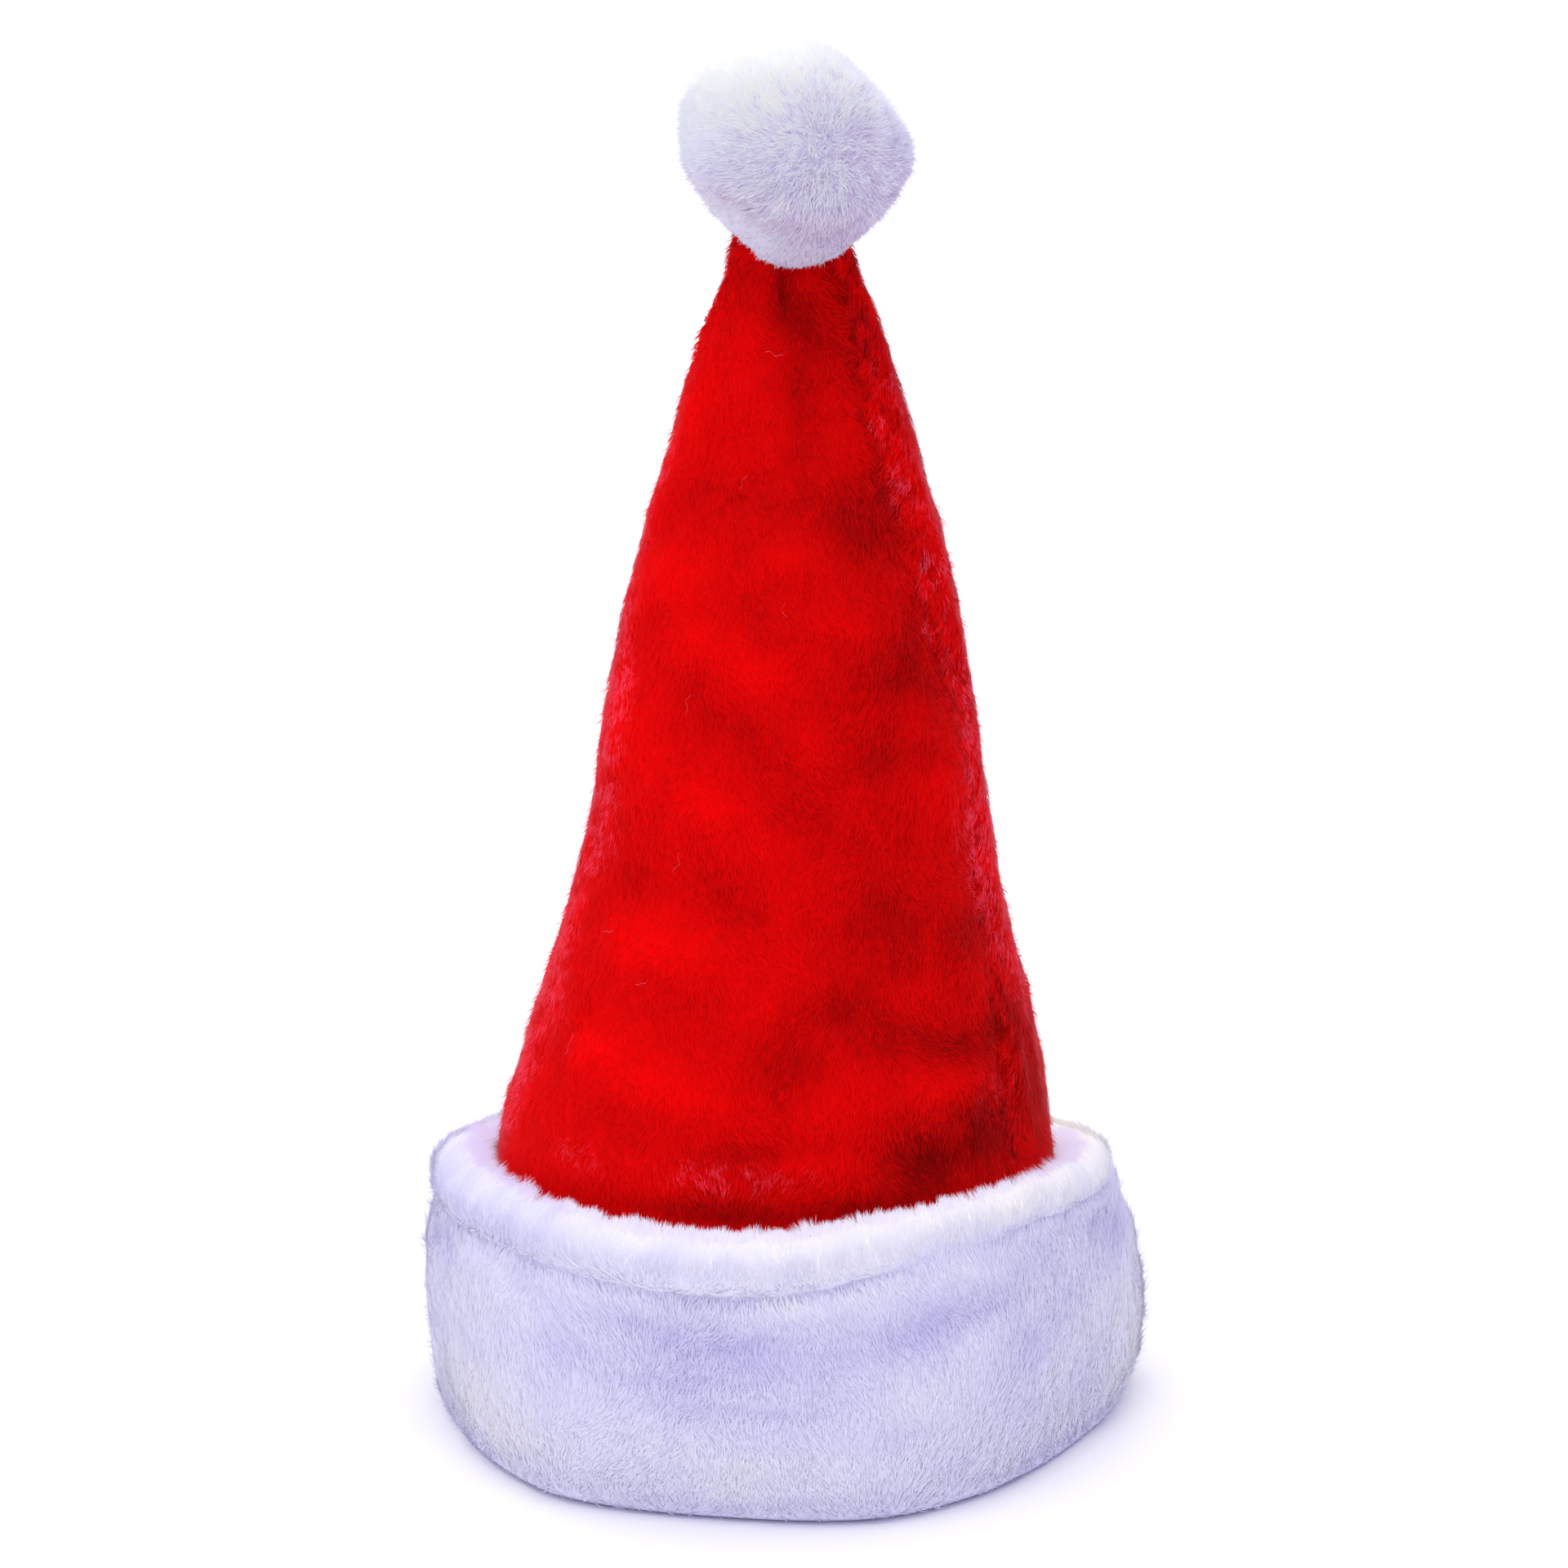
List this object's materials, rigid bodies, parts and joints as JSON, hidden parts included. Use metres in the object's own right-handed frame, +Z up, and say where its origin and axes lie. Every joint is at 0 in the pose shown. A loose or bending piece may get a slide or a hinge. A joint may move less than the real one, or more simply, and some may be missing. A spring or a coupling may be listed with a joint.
{
  "type": "santa hat",
  "caption": "Tall plush cone hat with a thick turned-up cuff round its foot and a soft ball on its gathered tip, standing on its cuff.",
  "frame": {"origin": "middle of the hat's footprint on the floor", "axes": "+Z up along the hat from the cuff's foot to the pompom, -Y to the front as pictured, +X to the hat's right as seen from the front"},
  "size_m": [0.2204, 0.2142, 0.4208],
  "materials": {
    "red_plush": "matt short pile",
    "white_plush": "matt long soft pile"
  },
  "bodies": {
    "root": {"crown": "red_plush", "cuff": "white_plush", "pompom": "white_plush"}
  },
  "joints": []
}
